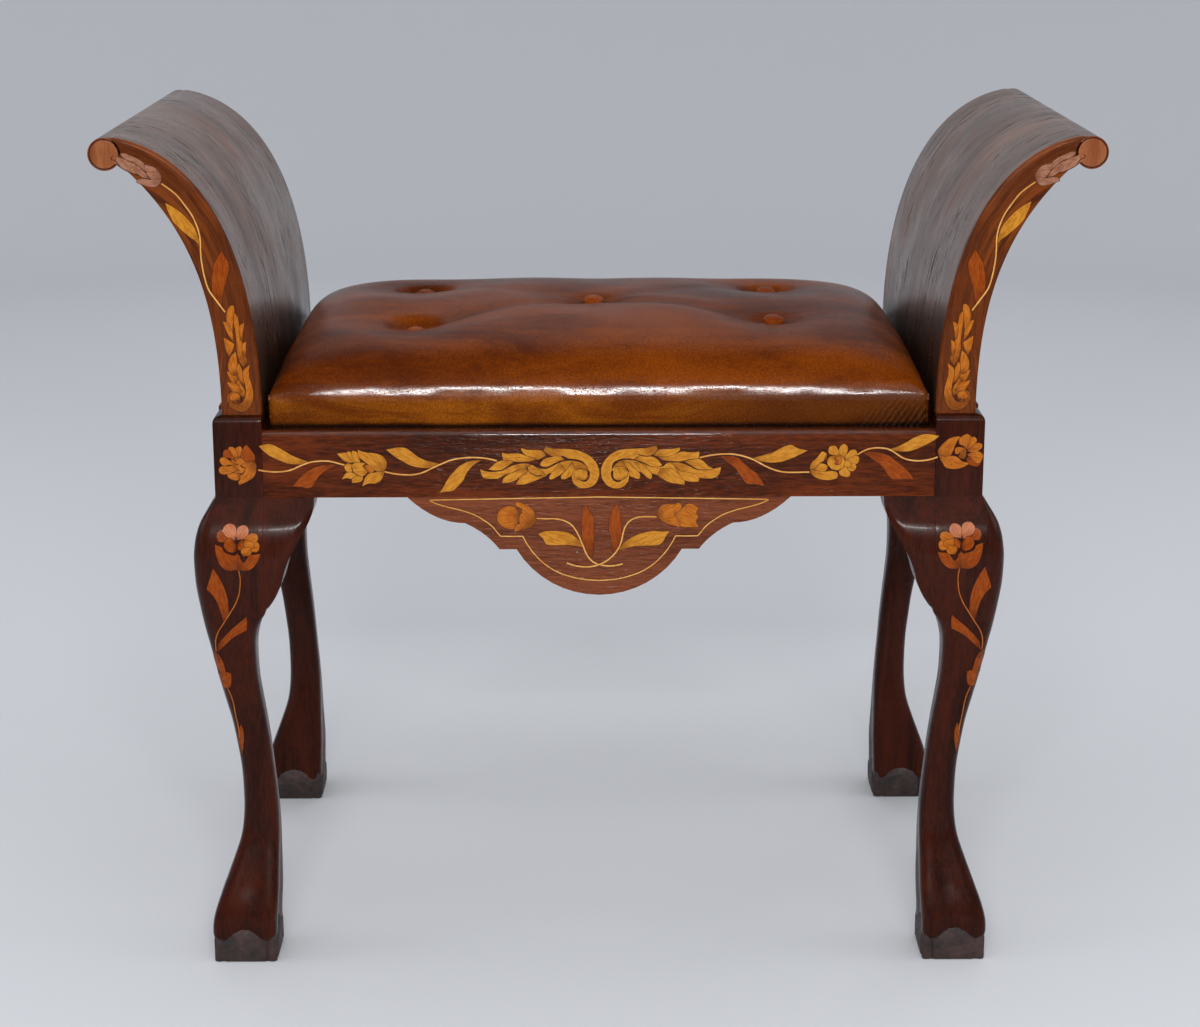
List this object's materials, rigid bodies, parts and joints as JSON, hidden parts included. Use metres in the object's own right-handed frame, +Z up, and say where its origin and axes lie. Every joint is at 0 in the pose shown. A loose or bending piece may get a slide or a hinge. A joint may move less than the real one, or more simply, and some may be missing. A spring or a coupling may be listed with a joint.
{
  "type": "piano stool",
  "caption": "Piano stool with scrolled arms, cabriole legs on claw feet, floral marquetry rails and a loose buttoned leather seat that lifts out.",
  "frame": {"origin": "on the floor under the middle of the stool", "axes": "+X to the right seen from the front and along the seat's length, +Y to the back, +Z up"},
  "size_m": [0.773, 0.4178, 0.6675],
  "materials": {
    "carved_walnut": "dark red-brown, waxed, open grain, glossy edges",
    "marquetry_rail": "dark walnut and mahogany veneer with floral marquetry, waxed",
    "beech_dowel": "unfinished",
    "pine": "unfinished, toned with age",
    "steel_fastener": "dull, dark with age",
    "arm_walnut": "red-brown veneer with floral marquetry on the ends, waxed",
    "walnut_veneer": "worn grey-brown walnut veneer, satin, with small dark flecks",
    "beech": "unfinished",
    "webbing": "jute twill",
    "hessian": "open jute weave",
    "horsehair": "matte",
    "leather": "cognac, mottled, glossy",
    "button_leather": "cognac, glossy",
    "twine": "waxed",
    "black_cloth": "matte cotton"
  },
  "bodies": {
    "frame": {"leg_front_left": "carved_walnut", "leg_front_right": "carved_walnut", "leg_rear_left": "carved_walnut", "leg_rear_right": "carved_walnut", "knee_block_front_left_front": "carved_walnut", "knee_block_front_left_side": "carved_walnut", "knee_block_front_right_front": "carved_walnut", "knee_block_front_right_side": "carved_walnut", "knee_block_rear_left_rear": "carved_walnut", "knee_block_rear_left_side": "carved_walnut", "knee_block_rear_right_rear": "carved_walnut", "knee_block_rear_right_side": "carved_walnut", "front_rail": "marquetry_rail", "rear_rail": "marquetry_rail", "left_rail": "marquetry_rail", "right_rail": "marquetry_rail", "front_apron": "marquetry_rail", "rear_apron": "marquetry_rail", "apron_dowels": "beech_dowel", "corner_block_front_left": "pine", "corner_block_front_right": "pine", "corner_block_rear_left": "pine", "corner_block_rear_right": "pine", "corner_block_screws": "steel_fastener", "ledger_left": "pine", "ledger_right": "pine", "arm_left_front_stile": "arm_walnut", "arm_left_rear_stile": "arm_walnut", "arm_left_staves": "pine", "arm_left_inner_veneer": "walnut_veneer", "arm_left_outer_veneer": "arm_walnut", "arm_left_roll": "arm_walnut", "arm_left_front_roundel": "arm_walnut", "arm_left_rear_roundel": "arm_walnut", "arm_right_front_stile": "arm_walnut", "arm_right_rear_stile": "arm_walnut", "arm_right_staves": "pine", "arm_right_inner_veneer": "walnut_veneer", "arm_right_outer_veneer": "arm_walnut", "arm_right_roll": "arm_walnut", "arm_right_front_roundel": "arm_walnut", "arm_right_rear_roundel": "arm_walnut", "arm_dowels": "beech_dowel"},
    "seat": {"seat_front_rail": "beech", "seat_rear_rail": "beech", "seat_left_rail": "beech", "seat_right_rail": "beech", "seat_cross_webbing": "webbing", "seat_long_webbing": "webbing", "seat_hessian": "hessian", "seat_stuffing": "horsehair", "seat_leather_cover": "leather", "seat_buttons": "button_leather", "seat_button_twines": "twine", "seat_toggles": "beech_dowel", "seat_bottom_cloth": "black_cloth", "seat_cover_tacks": "steel_fastener", "seat_webbing_tacks": "steel_fastener"}
  },
  "joints": [
    {"name": "seat_lift", "type": "slide", "parent": "frame", "child": "seat", "axis": [0, 0, 1], "range_m": [0, 0.26]}
  ]
}
